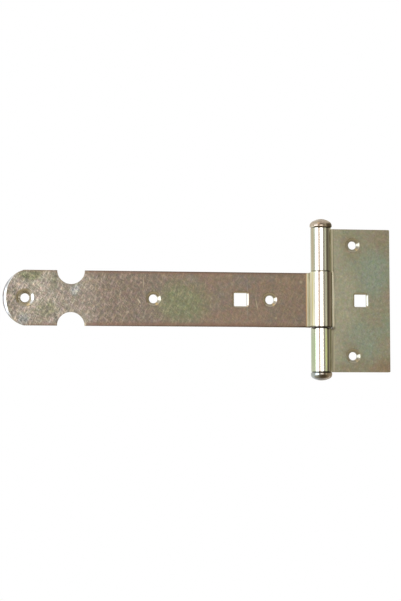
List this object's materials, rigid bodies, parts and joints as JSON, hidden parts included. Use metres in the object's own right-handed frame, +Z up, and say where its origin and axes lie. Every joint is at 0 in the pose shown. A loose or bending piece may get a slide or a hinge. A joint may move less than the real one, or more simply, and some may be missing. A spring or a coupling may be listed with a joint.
{
  "type": "tee hinge",
  "caption": "Flat tee hinge: a long notched strap with a rounded tip swings on a riveted pin in the rolled knuckles of an upright plate, with countersunk screw holes and square bolt holes.",
  "frame": {"origin": "midway between the plate's two screw holes, on the plate's back face", "axes": "+X from the strap towards the plate, +Z up along the pin, -Y out of the front faces of both leaves"},
  "size_m": [0.2489, 0.0145, 0.1036],
  "materials": {
    "strap_zinc": "yellow-passivated zinc plate, spangled, brownish",
    "plate_zinc": "yellow-passivated zinc plate, satin, olive",
    "pin_zinc": "yellow-passivated zinc plate, bright"
  },
  "bodies": {
    "plate": {"plate_leaf": "plate_zinc", "hinge_pin": "pin_zinc"},
    "strap": {"strap_leaf": "strap_zinc"}
  },
  "joints": [
    {"name": "strap_swing", "type": "hinge", "parent": "plate", "child": "strap", "pos_m": [-0.0219, -0.00655, 0], "axis": [0, 0, 1], "range_deg": [-90, 180]}
  ]
}
